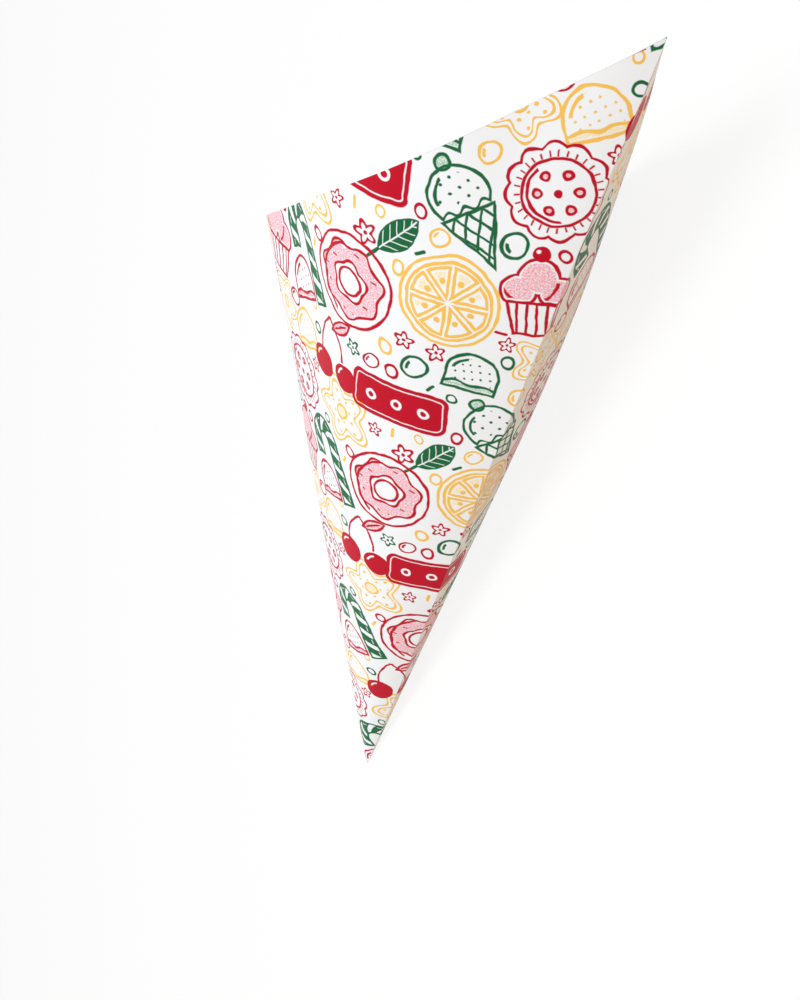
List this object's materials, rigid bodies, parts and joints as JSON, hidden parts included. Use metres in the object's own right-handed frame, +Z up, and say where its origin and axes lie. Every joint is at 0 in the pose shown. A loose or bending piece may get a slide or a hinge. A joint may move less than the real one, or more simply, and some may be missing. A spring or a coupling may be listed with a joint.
{
  "type": "paper cone bag",
  "caption": "Open pointed bag folded from one square sheet of printed coated paper, with a glued side fold and a slanting mouth.",
  "frame": {"origin": "middle of the bag's box, on the surface that it lies on", "axes": "+Z up from the surface that the back panel lies on, +Y from the tip towards the mouth, +X towards the crease"},
  "size_m": [0.1434, 0.2502, 0.0747],
  "materials": {
    "printed_paper": "satin coated, printed in four colours on white"
  },
  "bodies": {
    "root": {"paper_cone": "printed_paper"}
  },
  "joints": []
}
